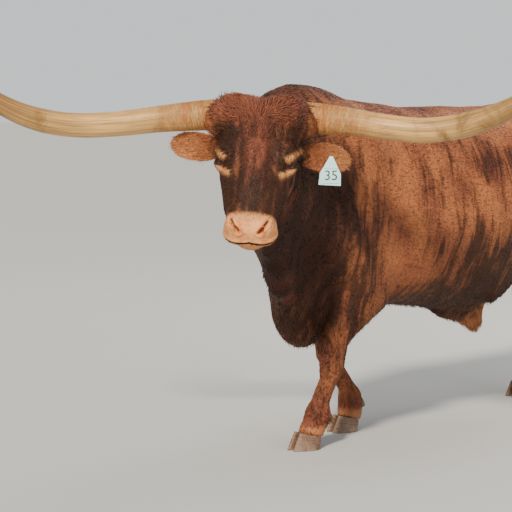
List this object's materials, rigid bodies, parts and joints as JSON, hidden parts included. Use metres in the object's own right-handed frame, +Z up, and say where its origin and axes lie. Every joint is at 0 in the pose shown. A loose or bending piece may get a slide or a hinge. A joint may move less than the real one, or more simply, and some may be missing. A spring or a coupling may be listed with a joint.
{
  "type": "texas longhorn",
  "caption": "Life-size Texas longhorn steer standing in mid step, head turned to its left, with long upswept horns, a brisket, a tail switch and a plastic tag in the left ear.",
  "frame": {"origin": "centre of the bounding box's underside, on the floor under the hooves", "axes": "+Z up; the body faces -Y; +X is the animal's left side"},
  "size_m": [1.7577, 3.0416, 1.7618],
  "materials": {
    "hide": "short hair, red-brown brindle",
    "dark_hide": "short hair, dark brown",
    "horn": "glossy tan keratin with darker streaks",
    "hoof": "dull dark grey-brown keratin",
    "eye": "wet dark brown",
    "tag": "pale aqua plastic",
    "stud": "grey-green plastic"
  },
  "bodies": {
    "root": {"torso": "hide", "neck": "hide", "ear_left": "hide", "ear_right": "hide", "tail": "hide", "head": "dark_hide", "tail_switch": "dark_hide", "horn_left": "horn", "horn_right": "horn", "eye_left": "eye", "eye_right": "eye", "ear_tag": "tag", "ear_tag_stud": "stud", "fore_left_upper": "hide", "fore_left_lower": "hide", "fore_left_claw_outer": "hoof", "fore_left_claw_inner": "hoof", "fore_left_dewclaw_outer": "hoof", "fore_left_dewclaw_inner": "hoof", "fore_right_upper": "hide", "fore_right_lower": "hide", "fore_right_claw_outer": "hoof", "fore_right_claw_inner": "hoof", "fore_right_dewclaw_outer": "hoof", "fore_right_dewclaw_inner": "hoof", "hind_left_upper": "hide", "hind_left_lower": "hide", "hind_left_claw_outer": "hoof", "hind_left_claw_inner": "hoof", "hind_left_dewclaw_outer": "hoof", "hind_left_dewclaw_inner": "hoof", "hind_right_upper": "hide", "hind_right_lower": "hide", "hind_right_claw_outer": "hoof", "hind_right_claw_inner": "hoof", "hind_right_dewclaw_outer": "hoof", "hind_right_dewclaw_inner": "hoof"}
  },
  "joints": []
}
